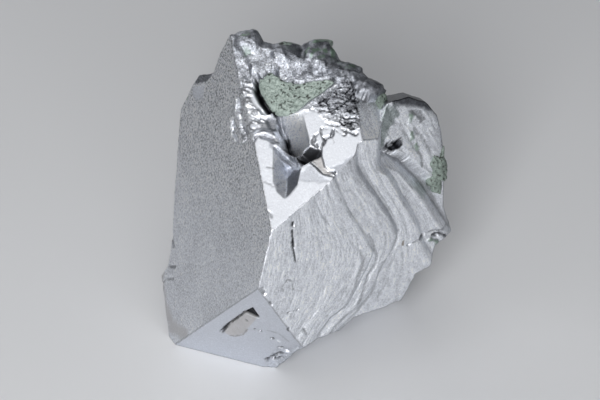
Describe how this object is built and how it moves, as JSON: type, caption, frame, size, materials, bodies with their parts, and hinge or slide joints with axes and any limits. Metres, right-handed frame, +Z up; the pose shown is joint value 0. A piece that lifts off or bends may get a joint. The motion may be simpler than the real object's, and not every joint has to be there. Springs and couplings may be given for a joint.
{
  "type": "galena crystal with sphalerite",
  "caption": "Heavy grey truncated cube of galena with growth terraces, a V-shaped hopper in its large corner face and pale green sphalerite crusts.",
  "frame": {"origin": "middle of the specimen's box, at the level of the flat base that it stands on", "axes": "+Z up; -Y towards the corner where the left, right and lower faces meet, the side that is shown; +X towards the terraced lobe"},
  "size_m": [0.0588, 0.0464, 0.0618],
  "materials": {
    "galena": "satin metallic lustre, brighter on the octahedral face",
    "sphalerite": "granular, matt"
  },
  "bodies": {
    "root": {"galena": "galena", "sphalerite_pocket": "sphalerite", "sphalerite_crust": "sphalerite", "sphalerite_notch": "sphalerite", "sphalerite_ridge_west": "sphalerite", "sphalerite_ridge_east": "sphalerite", "sphalerite_shoulder": "sphalerite"}
  },
  "joints": []
}
